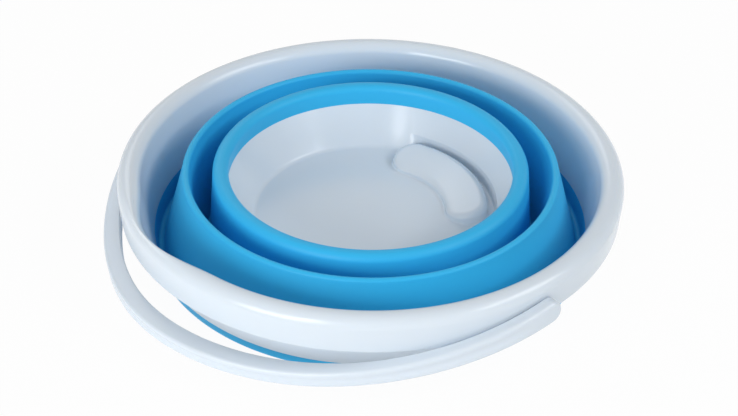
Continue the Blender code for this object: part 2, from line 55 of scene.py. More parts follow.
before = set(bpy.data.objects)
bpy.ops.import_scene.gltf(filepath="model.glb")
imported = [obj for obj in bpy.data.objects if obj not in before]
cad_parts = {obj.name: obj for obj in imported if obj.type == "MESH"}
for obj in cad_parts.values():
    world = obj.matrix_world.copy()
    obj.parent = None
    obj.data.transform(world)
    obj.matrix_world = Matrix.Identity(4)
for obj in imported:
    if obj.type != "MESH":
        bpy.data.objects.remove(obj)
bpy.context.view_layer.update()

# Rim
RIM_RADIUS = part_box("rim")[1].x
RIM_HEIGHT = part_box("rim")[1].z
LIP_WIDTH = 0.0150
LIP_DEPTH = 0.0246
LIP_DRAFT = 0.0014
LIP_WALL = 0.0024
RIM_LEAN = 0.0070
RIM_SEAM_HEIGHT = 0.0140
RIM_SEAM_STEP = 0.0055
EDGE_ROUND = 0.0009

# Pouring spout
SPOUT_ANGLE = math.radians(259.4)
SPOUT_SPREAD = math.radians(22.5)
SPOUT_DEPTH = 0.0080

# Walls where the bellows grips the stiff pieces
WALL = 0.0030
SKIN = 0.0008
SEAM = 0.0003
CLING = SKIN + SEAM
TONGUE_DEPTH = 0.0035

# Bellows
WEB = 0.0014
BAND = 0.0020
BEND_HEIGHT = 0.0045
OUTER_BEND = 0.0032
INNER_BEND = 0.0022
OUTER_WEB_RUN = 0.0126
BAND_RUN = 0.0086
INNER_WEB_RUN = 0.0034
OUTER_CREST_HEIGHT = 0.0551
OUTER_CREST_HALF = 0.0023

# Collar
COLLAR_HEIGHT = 0.0580
COLLAR_WIDTH = 0.0102
COLLAR_INNER_ROUND = 0.0040
COLLAR_OUTER_ROUND = 0.0050
COLLAR_BULGE = 0.0007
COLLAR_FOOT = 0.0082
COLLAR_DEPTH = 0.0132
BASE_SEAM_STEP = 0.0030

# Base
DISH_LEAN = 0.0135
DISH_ROUND = 0.0043
FLOOR_HEIGHT = 0.0202
FLOOR_WALL = 0.0025
FOOT_WALL = 0.0026
FOOT_DRAFT = 0.0010
FOOT_TUCK = 0.0020
LEDGE_ROUND = 0.0006
OUTER_ROUND = 0.0010

# Finger grip
GRIP_ANGLE = math.radians(81.3)
GRIP_LENGTH = 0.0940
GRIP_WIDTH = 0.0270
GRIP_INNER_RISE = 0.0038
GRIP_OUTER_RISE = 0.0106
GRIP_WALL = 0.0026
GRIP_REACH = 0.0025
GRIP_ROUND = 0.0054
GRIP_FLARE = 0.0014
GRIP_SINK = 0.00004
GRIP_TOP = 0.0004
CHANNEL_RISE = 0.0098
CHANNEL_DRAFT = 0.0005
CHANNEL_END = math.radians(11)
CHANNEL_SET_IN = math.radians(4)
CHANNEL_ROUND = 0.0015

# Ribs under the floor
RIB_COUNT = 8
RIB_WALL = 0.0018
RIB_DEPTH = 0.0045
RIB_RING_SET_IN = 0.0040
BOSS_RADIUS = 0.0055

# Handle
HANDLE_WIDTH = 0.0146
HANDLE_MIDDLE_WIDTH = 0.0104
HANDLE_THICKNESS = 0.0075
HANDLE_MIDDLE_THICKNESS = 0.0112
HANDLE_CLEARANCE = 0.0007
HANDLE_BOW = 0.0072
HANDLE_PINCH = 0.0034
HANDLE_SAG = 0.0033
HANDLE_ROUND = 0.0022
HANDLE_INNER_ROUND = 0.0007
HANDLE_GROOVE = 0.0006
HANDLE_HOLLOW = 0.0022
HANDLE_EDGE = 0.0032
HANDLE_PAD = 0.0100
HANDLE_END_TURN = math.radians(86)
REST_GAP = 0.0086
PIVOT_RISE = 0.0068
PEG_RADIUS = 0.0040
PEG_GAP = 0.0004
PEG_HEAD = 0.0012
PEG_HEAD_LENGTH = 0.0026
SOCKET_WALL = 0.0028
SOCKET_DEPTH = 0.0024

# How the meshes are made: distances for merging points, and the least angle that stays sharp
MERGE = 0.000001
SLIVER = 0.000002
SHARP_ANGLE = math.radians(38)
ROD_FACETS = 48

# Places that follow from the sizes above
LIP_SPRING = RIM_HEIGHT - LIP_WIDTH / 2
LIP_FOOT = RIM_HEIGHT - LIP_DEPTH
LIP_INNER = RIM_RADIUS - LIP_WIDTH
RIM_SLOPE = RIM_LEAN / (LIP_SPRING - RIM_SEAM_HEIGHT)
RIM_OUTER_SEAM = RIM_SEAM_HEIGHT - RIM_SEAM_STEP
RIM_TONGUE_TIP = RIM_OUTER_SEAM - TONGUE_DEPTH


def rim_wall(height):
    """Radius of the rim wall's inner side."""
    return LIP_INNER - (LIP_SPRING - height) * RIM_SLOPE


OUTER_BEND_CENTRE = rim_wall(BEND_HEIGHT) + WALL / 2 - OUTER_BEND
OUTER_CREST = OUTER_BEND_CENTRE - OUTER_BEND - OUTER_WEB_RUN + WEB / 2 - OUTER_CREST_HALF
INNER_BEND_CENTRE = OUTER_CREST - OUTER_CREST_HALF + BAND / 2 - BAND_RUN - INNER_BEND
COLLAR_OUTER = INNER_BEND_CENTRE - INNER_BEND - INNER_WEB_RUN + WEB / 2
COLLAR_INNER = COLLAR_OUTER - COLLAR_WIDTH
COLLAR_CREST = COLLAR_OUTER - COLLAR_OUTER_ROUND
BASE_SEAM_HEIGHT = COLLAR_HEIGHT - COLLAR_DEPTH
DISH_TOP = COLLAR_INNER + COLLAR_BULGE
DISH_FOOT = DISH_TOP - DISH_LEAN
DISH_FOOT_HEIGHT = FLOOR_HEIGHT + DISH_ROUND
DISH_SLOPE = DISH_LEAN / (BASE_SEAM_HEIGHT - DISH_FOOT_HEIGHT)
BASE_OUTER_SEAM = BASE_SEAM_HEIGHT - BASE_SEAM_STEP
BASE_TONGUE_TIP = BASE_SEAM_HEIGHT + 2 * TONGUE_DEPTH
FLOOR_RADIUS = DISH_FOOT - DISH_ROUND
FLOOR_UNDERSIDE = FLOOR_HEIGHT - FLOOR_WALL
FOOT_RADIUS = DISH_FOOT + WALL - 2 * FOOT_DRAFT
GRIP_RADIUS = FLOOR_RADIUS + GRIP_REACH - GRIP_WIDTH / 2
CHANNEL_TOP = FLOOR_HEIGHT + CHANNEL_RISE
PIVOT_HEIGHT = LIP_FOOT + PIVOT_RISE
HANDLE_INNER = RIM_RADIUS + HANDLE_CLEARANCE
HANDLE_LINE = HANDLE_INNER + HANDLE_THICKNESS / 2
HANDLE_REACH = HANDLE_LINE + HANDLE_BOW
HANDLE_FRONT = HANDLE_REACH + HANDLE_MIDDLE_THICKNESS / 2
SOCKET_RADIUS = PEG_RADIUS + PEG_GAP
HANDLE_TILT = (
    math.asin((PIVOT_HEIGHT - REST_GAP) / math.hypot(HANDLE_FRONT, HANDLE_MIDDLE_WIDTH / 2))
    - math.atan2(HANDLE_MIDDLE_WIDTH / 2, HANDLE_FRONT)
)

# The photograph's view: where the lens is, what it looks at, its size and its slight roll
PHOTO_WIDTH = 738
LENS_PIXELS = 2182.7
SENSOR_WIDTH = 36
VIEW_AIM = Vector((0, 0, 0.022))
VIEW_DISTANCE = 1.399
VIEW_TURN = math.radians(319.8)
VIEW_RISE = math.radians(35.252)
VIEW_ROLL = math.radians(0.632)
VIEW_OFFSET = (-1.28, 1.52)

# Studio: each lamp's name, turn and rise in degrees, width and height in metres, and watts
LAMP_DISTANCE = 2.2
LAMPS = (
    ("left_fill", 284, 14, (1.2, 0.9), 22),
    ("left_lamp", 295, 28, (0.30, 0.30), 3.8),
    ("right_fill", 38, 40, (0.9, 0.9), 12),
    ("right_lamp", 14, 35, (0.28, 0.28), 3.2),
    ("back_fill", 162, 38, (0.9, 0.9), 4),
)
WORLD_STRENGTH = 0.36

# Floor: its shade, how much it glows, how much more where it is seen, and its gap to the foot ring
FLOOR_SHADE = 0.9
FLOOR_GLOW = 0.3
FLOOR_SEEN_GLOW = 0.66
FLOOR_GAP = 0.0002

# White plastic: scales of its flow marks, clouds and grain, and what they do
WHITE_FLOW_SCALE = 5
WHITE_CLOUD_SCALE = 30
WHITE_GRAIN_SCALE = 1500
WHITE_TINT = 0.03
WHITE_FLOW_ROUGHNESS = 0.04
WHITE_CLOUD_ROUGHNESS = 0.03
WHITE_MEAN_ROUGHNESS = 0.035
WHITE_BUMP = 0.01
WHITE_GRAIN_DEPTH = 0.0002
WHITE_SUBSURFACE = 0.12
WHITE_SUBSURFACE_RADIUS = (0.8, 1.0, 1.3)
WHITE_SUBSURFACE_DEPTH = 0.003
WHITE_IOR = 1.49

# Blue elastomer: the same, and where its clouds count as rubbed
BLUE_FLOW_SCALE = 7
BLUE_CLOUD_SCALE = 60
BLUE_GRAIN_SCALE = 1900
BLUE_GRAIN_COARSENESS = 0.6
BLUE_TINT = 0.04
BLUE_RUBBED = (0.5, 0.75)
BLUE_CLOUD_ROUGHNESS = 0.08
BLUE_RUBBED_ROUGHNESS = 0.06
BLUE_MEAN_ROUGHNESS = 0.05
BLUE_BUMP = 0.06
BLUE_GRAIN_DEPTH = 0.0003
BLUE_SPECULAR = 0.3
BLUE_IOR = 1.45


class BucketSizes(bpy.types.PropertyGroup):
    """Sizes of the bucket's looks."""

    facets: IntProperty(
        name="Facets round",
        description="Facets round each turned piece",
        default=288,
        min=56,
    )
    handle_facets: IntProperty(
        name="Handle facets",
        description="Sections along the handle",
        default=200,
        min=40,
    )
    floor_size: FloatProperty(
        name="Floor size",
        description="Side of the pale floor that the bucket stands on",
        default=8.0,
        unit="LENGTH",
    )


class BucketFinish(bpy.types.PropertyGroup):
    """Colours and finish of the bucket's two materials."""

    white: FloatVectorProperty(
        name="White plastic",
        description="Colour of the rim, base and handle",
        default=(0.72, 0.80, 0.88),
        subtype="COLOR",
        min=0,
        max=1,
    )
    blue: FloatVectorProperty(
        name="Blue elastomer",
        description="Colour of the bellows",
        default=(0.036, 0.49, 0.87),
        subtype="COLOR",
        min=0,
        max=1,
    )
    white_roughness: FloatProperty(
        name="White roughness",
        description="Roughness of the white plastic",
        default=0.22,
        subtype="FACTOR",
        min=0,
        max=1,
    )
    blue_roughness: FloatProperty(
        name="Blue roughness",
        description="Roughness of the blue elastomer",
        default=0.48,
        subtype="FACTOR",
        min=0,
        max=1,
    )
    backdrop: FloatVectorProperty(
        name="Backdrop",
        description="Colour of the floor and of what is beyond it",
        default=(1.0, 1.0, 1.0),
        subtype="COLOR",
        min=0,
        max=1,
    )


class Value:
    """A socket in a material. Python's operators on it add Math nodes."""

    def __init__(self, sheet, socket):
        self.sheet = sheet
        self.socket = socket

    def maths(self, operation, first, second):
        return self.sheet.node("ShaderNodeMath", {"operation": operation}, {0: first, 1: second})

    def __add__(self, other):
        return self.maths("ADD", self, other)

    __radd__ = __add__

    def __mul__(self, other):
        return self.maths("MULTIPLY", self, other)

    __rmul__ = __mul__


class Sheet:
    """The nodes of one material or of the world."""

    def __init__(self, tree):
        self.tree = tree
        self.tree.nodes.clear()

    def node(self, kind, settings, sockets, output=0):
        """Add a node: its settings first, then the values or links of its sockets."""
        node = self.tree.nodes.new(kind)
        for name, setting in settings.items():
            setattr(node, name, setting)
        for name, value in sockets.items():
            if isinstance(value, Value):
                self.tree.links.new(value.socket, node.inputs[name])
            else:
                node.inputs[name].default_value = value
        return Value(self, node.outputs[output]) if node.outputs else node


def new_material(name):
    """An empty material and the sheet of its nodes."""
    material = bpy.data.materials.new(name)
    material.use_nodes = True
    return material, Sheet(material.node_tree)


def noise(sheet, place, scale, detail, roughness=0.5):
    """A cloudy value from 0 to 1 that varies from place to place."""
    sockets = {"Vector": place, "Scale": scale, "Detail": detail, "Roughness": roughness}
    return sheet.node("ShaderNodeTexNoise", {}, sockets, "Fac")


def mix_colours(sheet, share, first, second):
    """The first colour where the share is 0 and the second where it is 1."""
    settings = {"data_type": "RGBA", "blend_type": "MIX"}
    sockets = {"Factor": share, 6: first, 7: second}
    return sheet.node("ShaderNodeMix", settings, sockets, 2)


def shaded(colour, level):
    """A colour made lighter or darker, as a socket's four numbers."""
    return tuple(min(part * level, 1) for part in colour) + (1,)


def tinted(sheet, share, colour, tint):
    """A colour that varies with a share, from darker to lighter by the tint."""
    return mix_colours(sheet, share, shaded(colour, 1 - tint), shaded(colour, 1 + tint))


def grained(sheet, grain, strength, depth):
    """The slight roughness that a mould leaves on a surface."""
    return sheet.node("ShaderNodeBump", {}, {"Strength": strength, "Distance": depth, "Height": grain})


def white_plastic():
    """Moulded polypropylene: a cool milky white, whose polish varies a little where it flowed."""
    finish = bpy.context.scene.bucket_finish
    material, sheet = new_material("white_polypropylene")
    place = sheet.node("ShaderNodeTexCoord", {}, {}, "Object")
    flow = noise(sheet, place, WHITE_FLOW_SCALE, 0)
    cloud = noise(sheet, place, WHITE_CLOUD_SCALE, 2)
    grain = noise(sheet, place, WHITE_GRAIN_SCALE, 2)
    colour = tinted(sheet, flow, finish.white, WHITE_TINT)
    least = finish.white_roughness - WHITE_MEAN_ROUGHNESS
    roughness = flow * WHITE_FLOW_ROUGHNESS + cloud * WHITE_CLOUD_ROUGHNESS + least
    bump = grained(sheet, grain, WHITE_BUMP, WHITE_GRAIN_DEPTH)
    sockets = {
        "Base Color": colour,
        "Roughness": roughness,
        "Normal": bump,
        "Subsurface Weight": WHITE_SUBSURFACE,
        "Subsurface Radius": WHITE_SUBSURFACE_RADIUS,
        "Subsurface Scale": WHITE_SUBSURFACE_DEPTH,
        "IOR": WHITE_IOR,
    }
    shader = sheet.node("ShaderNodeBsdfPrincipled", {}, sockets)
    sheet.node("ShaderNodeOutputMaterial", {}, {"Surface": shader})
    return material


def blue_elastomer():
    """Soft elastomer: a matt skin over a strong blue, a little rougher where it is rubbed."""
    finish = bpy.context.scene.bucket_finish
    material, sheet = new_material("soft_blue_elastomer")
    place = sheet.node("ShaderNodeTexCoord", {}, {}, "Object")
    flow = noise(sheet, place, BLUE_FLOW_SCALE, 2)
    cloud = noise(sheet, place, BLUE_CLOUD_SCALE, 4)
    grain = noise(sheet, place, BLUE_GRAIN_SCALE, 3, BLUE_GRAIN_COARSENESS)
    low, high = BLUE_RUBBED
    rubbed = sheet.node("ShaderNodeMapRange", {}, {0: cloud, 1: low, 2: high, 3: 0, 4: 1})
    colour = tinted(sheet, flow, finish.blue, BLUE_TINT)
    least = finish.blue_roughness - BLUE_MEAN_ROUGHNESS
    roughness = cloud * BLUE_CLOUD_ROUGHNESS + rubbed * BLUE_RUBBED_ROUGHNESS + least
    bump = grained(sheet, grain, BLUE_BUMP, BLUE_GRAIN_DEPTH)
    sockets = {
        "Base Color": colour,
        "Roughness": roughness,
        "Normal": bump,
        "Specular IOR Level": BLUE_SPECULAR,
        "IOR": BLUE_IOR,
    }
    shader = sheet.node("ShaderNodeBsdfPrincipled", {}, sockets)
    sheet.node("ShaderNodeOutputMaterial", {}, {"Surface": shader})
    return material


def ready_material(name, make):
    """The material of that name, made once."""
    return bpy.data.materials.get(name) or make()


def place_piece(name, mesh, material):
    """An object from a bmesh, with its faces pointing out and its rounds shaded smooth."""
    bmesh.ops.recalc_face_normals(mesh, faces=mesh.faces)
    data = bpy.data.meshes.new(name)
    mesh.to_mesh(data)
    mesh.free()
    if material:
        data.materials.append(material)
    smooth(data)
    piece = bpy.data.objects.new(name, data)
    bpy.context.scene.collection.objects.link(piece)
    return piece


def smooth(data):
    """Shade a mesh smooth, but for its sharp edges."""
    data.shade_smooth()
    data.set_sharp_from_angle(angle=SHARP_ANGLE)


def arc(centre, radius, start, end, steps):
    """Points of an arc in the plane of an outline, from one angle in degrees to another."""
    points = []
    for step in range(steps + 1):
        angle = math.radians(start + (end - start) * step / steps)
        points.append((centre[0] + radius * math.cos(angle), centre[1] + radius * math.sin(angle)))
    return points


def easing_arc(centre, radii, start, end, steps):
    """An arc whose radius changes evenly from its start to its end."""
    points = []
    for step in range(steps + 1):
        share = step / steps
        radius = radii[0] + (radii[1] - radii[0]) * share
        points.append(arc(centre, radius, start + (end - start) * share, 0, 1)[0])
    return points


def rounded(corners, steps=5):
    """An outline through corners of (radius, height, rounding), with each rounded corner as an arc."""
    points = []
    count = len(corners)
    for number, (x, z, rounding) in enumerate(corners):
        if not rounding:
            points.append((x, z))
            continue
        corner = Vector((x, z))
        before = (Vector(corners[number - 1][:2]) - corner).normalized()
        after = (Vector(corners[(number + 1) % count][:2]) - corner).normalized()
        half = before.angle(after) / 2
        reach = rounding / math.tan(half)
        middle = corner + (before + after).normalized() * (rounding / math.sin(half))
        first = corner + before * reach - middle
        last = corner + after * reach - middle
        turn = first.angle_signed(last)
        for step in range(steps + 1):
            angle = -turn * step / steps
            spoke = Matrix.Rotation(angle, 2) @ first
            points.append(tuple(middle + spoke))
    return points


def smooth_share(share):
    """A share held between 0 and 1, that starts and ends gently."""
    share = min(max(share, 0.0), 1.0)
    return share * share * (3 - 2 * share)


def from_middle(angle, middle):
    """The unsigned angle from a middle direction."""
    return abs((angle - middle + math.pi) % math.tau - math.pi)


def turned(name, outline, material, closed=True, second=None, share_at=None):
    """A ring turned from an outline of (radius, height) points.

    Where a second outline is given, it is taken to the share that share_at says for each direction.
    """
    facets = bpy.context.scene.bucket_sizes.facets
    mesh = bmesh.new()
    rows = []
    for step in range(facets):
        angle = math.tau * step / facets
        share = share_at(angle) if share_at else 0
        row = []
        for number, (radius, height) in enumerate(outline):
            if share:
                radius += (second[number][0] - radius) * share
                height += (second[number][1] - height) * share
            row.append((radius * math.cos(angle), radius * math.sin(angle), height))
        rows.append([mesh.verts.new(point) for point in row])
    count = len(outline)
    for step, row in enumerate(rows):
        following = rows[(step + 1) % facets]
        for number in range(count if closed else count - 1):
            after = (number + 1) % count
            mesh.faces.new((row[number], row[after], following[after], following[number]))
    bmesh.ops.remove_doubles(mesh, verts=mesh.verts, dist=MERGE)
    return place_piece(name, mesh, material)


def lofted(name, loops, material):
    """A solid through closed loops of points, each with as many points, with flat ends."""
    mesh = bmesh.new()
    rows = [[mesh.verts.new(point) for point in loop] for loop in loops]
    for row, following in zip(rows, rows[1:]):
        for step in range(len(row)):
            after = (step + 1) % len(row)
            mesh.faces.new((row[step], row[after], following[after], following[step]))
    mesh.faces.new(rows[0])
    mesh.faces.new(rows[-1])
    return place_piece(name, mesh, material)


def rod(name, radii, places):
    """A rod along X, whose radius changes from place to place. It takes the finish of what it joins."""
    loops = []
    for radius, place in zip(radii, places):
        loop = []
        for step in range(ROD_FACETS):
            angle = math.tau * step / ROD_FACETS
            loop.append(Vector((place, radius * math.cos(angle), radius * math.sin(angle))))
        loops.append(loop)
    return lofted(name, loops, None)


def combine(target, tools, operation):
    """Join solids to a piece, or cut them away, clear the slivers left, and delete the solids."""
    for tool in tools:
        cut = target.modifiers.new(tool.name, "BOOLEAN")
        cut.object = tool
        cut.operation = operation
        cut.solver = "EXACT"
    bpy.context.view_layer.update()
    shape = target.evaluated_get(bpy.context.evaluated_depsgraph_get())
    data = bpy.data.meshes.new_from_object(shape)
    target.modifiers.clear()
    mesh = bmesh.new()
    mesh.from_mesh(data)
    bmesh.ops.remove_doubles(mesh, verts=mesh.verts, dist=SLIVER)
    bmesh.ops.dissolve_degenerate(mesh, edges=mesh.edges, dist=SLIVER)
    mesh.to_mesh(data)
    mesh.free()
    target.data = data
    smooth(data)
    for tool in tools:
        bpy.data.objects.remove(tool)


def finish_piece(piece, slot, body, *nodes):
    """Hide the nodes that the piece stands for, and hang the piece on the body it rides on. The slot is
    not used.
    """
    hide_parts(*nodes)
    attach(piece, body)


def spout_share(angle):
    """How far the spout is let into the lip in a direction, from 0 to 1."""
    away = from_middle(angle, SPOUT_ANGLE)
    if away >= SPOUT_SPREAD:
        return 0.0
    return (1 + math.cos(math.pi * away / SPOUT_SPREAD)) / 2


def with_spout(point):
    """Where a point of the rim's outline is in the middle of the spout."""
    radius, height = point
    rise = (height - RIM_SEAM_HEIGHT) / (LIP_SPRING - RIM_SEAM_HEIGHT)
    up = min(max(rise, 0.0), 1.0)
    outer_side = RIM_RADIUS - LIP_WALL
    across = (outer_side - radius) / (outer_side - LIP_INNER)
    on_wall = radius < rim_wall(height) + WALL + SEAM
    held = 1.0 if on_wall else math.sin(min(max(across, 0.0), 1.0) * math.pi / 2)
    return (radius + SPOUT_DEPTH * up * held, height)


def rim_outline():
    """The rim's outline: tongue, wall, arched lip, hanging flange and the hollow inside them."""
    lean = math.degrees(math.atan(RIM_SLOPE))
    draft = math.degrees(math.atan(LIP_DRAFT / (LIP_SPRING - LIP_FOOT)))
    middle = (RIM_RADIUS - LIP_WIDTH / 2, LIP_SPRING)
    reach = LIP_WIDTH / 2
    hollow = reach - LIP_WALL
    flange_foot = RIM_RADIUS - LIP_DRAFT
    seam = RIM_SEAM_HEIGHT
    outer_seam = RIM_OUTER_SEAM
    tip = RIM_TONGUE_TIP
    wall_steps = 12
    arch_steps = 32
    hollow_steps = 16
    hollow_end = 160
    foot_steps = 5
    inner_foot_steps = 3
    arch = arc(middle, reach, 180 - lean, -draft, arch_steps)
    wall = []
    for step in range(1, wall_steps):
        share = step / wall_steps
        wall.append(
            (
                rim_wall(seam) + (arch[0][0] - rim_wall(seam)) * share,
                seam + (arch[0][1] - seam) * share,
            )
        )
    inner_edge = (flange_foot - LIP_WALL + EDGE_ROUND / 2, LIP_FOOT + EDGE_ROUND / 2)
    outer_wall = []
    for step in range(wall_steps):
        height = LIP_SPRING + (outer_seam - LIP_SPRING) * step / wall_steps
        outer_wall.append((rim_wall(height) + WALL, height))
    return [
        (rim_wall(tip) + CLING, tip),
        (rim_wall(seam) + CLING, seam),
        (rim_wall(seam), seam),
        *wall,
        *arch,
        *arc((flange_foot - EDGE_ROUND, LIP_FOOT + EDGE_ROUND), EDGE_ROUND, 0, -90, foot_steps),
        *arc(inner_edge, EDGE_ROUND / 2, -90, -180, inner_foot_steps),
        *arc(middle, hollow, 0, hollow_end, hollow_steps),
        *outer_wall,
        (rim_wall(outer_seam) + WALL, outer_seam),
        (rim_wall(outer_seam) + WALL - CLING, outer_seam),
        (rim_wall(tip) + WALL - CLING, tip),
    ]


def make_rim(material):
    """The lip with its spout and flange, the wall below it, and the two sockets."""
    outline = rim_outline()
    spout = [with_spout(point) for point in outline]
    rim = turned("rim_lip", outline, material, second=spout, share_at=spout_share)
    bosses = []
    holes = []
    for side, word in ((1, "right"), (-1, "left")):
        flange_inside = RIM_RADIUS - LIP_WALL - LIP_DRAFT
        inner_end = flange_inside - SOCKET_DEPTH
        boss = rod(
            "socket_boss_" + word,
            (SOCKET_RADIUS + SOCKET_WALL,) * 2,
            (inner_end, flange_inside + LIP_WALL / 2),
        )
        hole = rod(
            "socket_hole_" + word,
            (SOCKET_RADIUS,) * 2,
            (inner_end - PEG_HEAD_LENGTH, RIM_RADIUS + HANDLE_CLEARANCE),
        )
        for tool in (boss, hole):
            tool.location = (0, 0, PIVOT_HEIGHT)
            tool.rotation_euler = (0, 0, 0 if side > 0 else math.pi)
        bosses.append(boss)
        holes.append(hole)
    combine(rim, bosses, "UNION")
    combine(rim, holes, "DIFFERENCE")
    return rim


def make_cuff(material):
    """The bellows' outer end, with the outer half of the first bend."""
    centre = (OUTER_BEND_CENTRE, BEND_HEIGHT)
    inner_start = rim_wall(BEND_HEIGHT) - centre[0]
    top = RIM_SEAM_HEIGHT
    outer_top = RIM_OUTER_SEAM
    floor = RIM_TONGUE_TIP - SEAM
    bend_steps = 12
    outline = [
        (rim_wall(top), top),
        (rim_wall(top) + SKIN, top),
        (rim_wall(floor) + SKIN, floor),
        (rim_wall(floor) + WALL - SKIN, floor),
        (rim_wall(outer_top) + WALL - SKIN, outer_top),
        (rim_wall(outer_top) + WALL, outer_top),
        *easing_arc(centre, (inner_start + WALL, OUTER_BEND + WEB / 2), 0, -90, bend_steps),
        *easing_arc(centre, (OUTER_BEND - WEB / 2, inner_start), -90, 0, bend_steps),
    ]
    return turned("bellows_cuff", outline, material)


def leaf(name, crest, crest_round, bend, bend_round, wall, side, material):
    """One leaf of the bellows, from the bottom of a bend to the top of a crest.

    The side is 1 for a leaf outside its crest, which turns over, and -1 for one inside its crest.
    """
    flank = 0 if side > 0 else 180
    crest_turn = 90 - flank
    steps = 12
    flat_steps = 10
    over = arc(crest, crest_round, flank, flank + crest_turn, steps)
    under = arc(crest, crest_round - wall, flank, flank + crest_turn, steps)
    outside = arc(bend, bend_round + wall / 2, flank - 180, flank - 180 + crest_turn, steps)
    inside = arc(bend, bend_round - wall / 2, flank - 180, flank - 180 + crest_turn, steps)
    outline = [
        *reversed(inside),
        *between(inside[0], over[0], flat_steps),
        *over,
        *reversed(under),
        *between(under[0], outside[0], flat_steps),
        *outside,
    ]
    return turned(name, outline, material)


def between(first, last, steps):
    """Points on the way from one point to another, without its ends."""
    points = []
    for step in range(1, steps):
        share = step / steps
        points.append(
            (first[0] + (last[0] - first[0]) * share, first[1] + (last[1] - first[1]) * share)
        )
    return points


def make_collar(material):
    """The thick ring moulded round the tongue on top of the base."""
    seam = BASE_SEAM_HEIGHT
    outer_seam = BASE_OUTER_SEAM
    tip = BASE_TONGUE_TIP + SEAM
    inner_round = (COLLAR_INNER + COLLAR_INNER_ROUND, COLLAR_HEIGHT - COLLAR_INNER_ROUND)
    wall_steps = 5
    round_steps = 14
    inner_wall = between((COLLAR_INNER, inner_round[1]), (DISH_TOP, seam), wall_steps)
    outline = [
        (COLLAR_CREST, COLLAR_HEIGHT),
        *arc(inner_round, COLLAR_INNER_ROUND, 90, 180, round_steps),
        *inner_wall,
        (DISH_TOP, seam),
        (DISH_TOP + SKIN, seam),
        (COLLAR_INNER + SKIN, tip),
        (COLLAR_INNER + WALL - SKIN, tip),
        (DISH_TOP + WALL - SKIN, seam),
        (dish_wall(outer_seam) + WALL - SKIN, outer_seam),
        (dish_wall(outer_seam) + WALL, outer_seam),
        (DISH_TOP + WALL, seam),
        (COLLAR_INNER + WALL, COLLAR_HEIGHT - COLLAR_FOOT),
        (COLLAR_CREST, COLLAR_HEIGHT - COLLAR_OUTER_ROUND),
    ]
    return turned("bellows_collar", outline, material)


def dish_wall(height):
    """Radius of the base's inner side."""
    return DISH_TOP - (BASE_SEAM_HEIGHT - height) * DISH_SLOPE


def channel_share(angle):
    """How fully the channel beside the finger grip is let into the dish, from 0 to 1."""
    half = GRIP_LENGTH / 2 / GRIP_RADIUS - CHANNEL_SET_IN
    away = from_middle(angle, GRIP_ANGLE)
    return smooth_share((half - away) / CHANNEL_END)


def dish_outline(foot, ledge, outer_foot):
    """The dish's outline from its middle, over its wall and foot ring, back to its middle.

    The foot is where the floor meets the wall, and the ledge where the wall starts to lean.
    """
    seam = BASE_SEAM_HEIGHT
    outer_seam = BASE_OUTER_SEAM
    tip = BASE_TONGUE_TIP
    rings = 8
    round_steps = 6
    floor_rings = [(FLOOR_RADIUS * ring / rings, FLOOR_HEIGHT, 0) for ring in range(rings)]
    corners = [
        *floor_rings,
        (foot[0], FLOOR_HEIGHT, foot[1]),
        (ledge[0], ledge[1], ledge[2]),
        (DISH_TOP, seam, 0),
        (DISH_TOP + CLING, seam, 0),
        (COLLAR_INNER + CLING, tip, 0),
        (COLLAR_INNER + WALL - CLING, tip, 0),
        (DISH_TOP + WALL - CLING, seam, 0),
        (dish_wall(outer_seam) + WALL - CLING, outer_seam, 0),
        (dish_wall(outer_seam) + WALL, outer_seam, 0),
        (ledge[0] + WALL, CHANNEL_TOP, ledge[2]),
        (outer_foot + WALL, DISH_FOOT_HEIGHT, OUTER_ROUND),
        (outer_foot + WALL - FOOT_DRAFT, FLOOR_HEIGHT, 0),
        (FOOT_RADIUS + FOOT_DRAFT / 2, FLOOR_UNDERSIDE, OUTER_ROUND),
        (FOOT_RADIUS, 0, EDGE_ROUND / 2),
        (FOOT_RADIUS - FOOT_WALL, 0, EDGE_ROUND / 2),
        (FOOT_RADIUS - FOOT_WALL, FLOOR_UNDERSIDE, EDGE_ROUND),
        (0, FLOOR_UNDERSIDE, 0),
    ]
    return rounded(corners, round_steps)


def kidney(half_width, height):
    """A bent outline with round ends, level, centred on the finger grip."""
    reach = GRIP_LENGTH / 2 - GRIP_WIDTH / 2
    half_angle = reach / GRIP_RADIUS
    side_steps = 28
    end_steps = 16
    points = []
    for step in range(side_steps + 1):
        angle = GRIP_ANGLE + half_angle * (2 * step / side_steps - 1)
        points.append(Matrix.Rotation(angle, 3, "Z") @ Vector((GRIP_RADIUS + half_width, 0, height)))
    for side in (1, -1):
        turn = Matrix.Rotation(GRIP_ANGLE + side * half_angle, 3, "Z")
        middle = Vector((GRIP_RADIUS, 0, height))
        for step in range(1, end_steps + 1):
            along = math.pi * step / (end_steps + 1)
            away = Vector((math.cos(along), math.sin(along), 0)) * half_width * side
            points.append(turn @ (middle + away))
        if side > 0:
            for step in range(side_steps + 1):
                angle = GRIP_ANGLE + half_angle * (1 - 2 * step / side_steps)
                inner = Vector((GRIP_RADIUS - half_width, 0, height))
                points.append(Matrix.Rotation(angle, 3, "Z") @ inner)
    return points


def grip_rise(point):
    """Height of the finger grip's top above the floor, which grows outwards."""
    inner_edge = GRIP_RADIUS - GRIP_WIDTH / 2
    across = (math.hypot(point.x, point.y) - inner_edge) / GRIP_WIDTH
    return GRIP_INNER_RISE + (GRIP_OUTER_RISE - GRIP_INNER_RISE) * across


